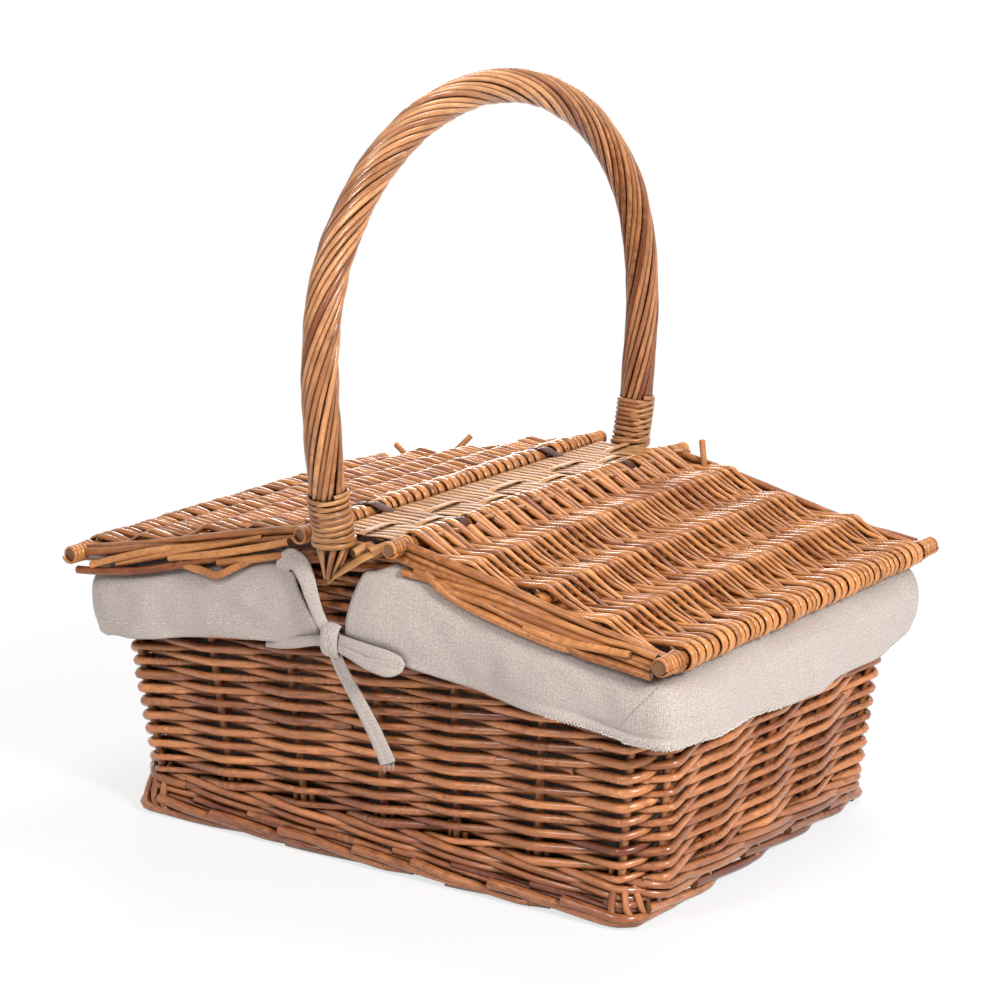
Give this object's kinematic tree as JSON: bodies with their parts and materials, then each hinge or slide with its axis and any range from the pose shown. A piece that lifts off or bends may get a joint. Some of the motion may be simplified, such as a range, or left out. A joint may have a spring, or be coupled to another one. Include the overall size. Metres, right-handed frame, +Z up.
{
  "type": "picnic basket",
  "caption": "Oblong woven willow picnic basket with hinged flap lids, a tall twisted bow handle and a cloth liner turned over the rim and tied at the handle.",
  "frame": {"origin": "on the ground under the middle of the basket", "axes": "+Z up, X along the basket and its lids, Y along the bow of the handle; -Y is the front"},
  "size_m": [0.4597, 0.3819, 0.4833],
  "materials": {
    "wall_willow": "varnished red-brown willow rods",
    "lid_willow": "varnished golden-brown willow rods",
    "pale_skein": "pale split willow skein",
    "linen": "plain-woven undyed linen",
    "brown_strap": "dark brown strap"
  },
  "bodies": {
    "basket": {"base_weave": "wall_willow", "bridge_stick_left": "pale_skein", "bridge_stick_right": "pale_skein", "bridge_weave": "pale_skein", "foot_border_back": "wall_willow", "foot_border_front": "wall_willow", "foot_border_left": "wall_willow", "foot_border_right": "wall_willow", "handle_binding_back": "pale_skein", "handle_binding_front": "pale_skein", "handle_bow": "lid_willow", "hinge_loop_left_1": "brown_strap", "hinge_loop_left_2": "brown_strap", "hinge_loop_right_1": "brown_strap", "hinge_loop_right_2": "brown_strap", "liner_bag": "linen", "liner_cuff_left": "linen", "liner_cuff_right": "linen", "rim_border_back": "wall_willow", "rim_border_front": "wall_willow", "rim_border_left": "wall_willow", "rim_border_right": "wall_willow", "stake_back_1": "wall_willow", "stake_back_2": "wall_willow", "stake_back_3": "wall_willow", "stake_back_4": "wall_willow", "stake_back_5": "wall_willow", "stake_back_6": "wall_willow", "stake_back_7": "wall_willow", "stake_front_1": "wall_willow", "stake_front_2": "wall_willow", "stake_front_3": "wall_willow", "stake_front_4": "wall_willow", "stake_front_5": "wall_willow", "stake_front_6": "wall_willow", "stake_front_7": "wall_willow", "stake_left_1": "wall_willow", "stake_left_2": "wall_willow", "stake_left_3": "wall_willow", "stake_left_4": "wall_willow", "stake_left_5": "wall_willow", "stake_right_1": "wall_willow", "stake_right_2": "wall_willow", "stake_right_3": "wall_willow", "stake_right_4": "wall_willow", "stake_right_5": "wall_willow", "tie_back": "linen", "tie_front": "linen", "tie_tail_back": "linen", "tie_tail_front": "linen", "wall_weave_back": "wall_willow", "wall_weave_front": "wall_willow", "wall_weave_left": "wall_willow", "wall_weave_right": "wall_willow"},
    "left_lid": {"left_lid_hinge_stick": "lid_willow", "left_lid_outer_stick": "lid_willow", "left_lid_weave": "lid_willow"},
    "right_lid": {"right_lid_hinge_stick": "lid_willow", "right_lid_outer_stick": "lid_willow", "right_lid_weave": "lid_willow"}
  },
  "joints": [
    {"name": "left_lid_hinge", "type": "hinge", "parent": "basket", "child": "left_lid", "pos_m": [-0.033, 0, 0.213], "axis": [0, 1, 0], "range_deg": [0, 102]},
    {"name": "right_lid_hinge", "type": "hinge", "parent": "basket", "child": "right_lid", "pos_m": [0.033, 0, 0.213], "axis": [0, -1, 0], "range_deg": [0, 106]}
  ]
}
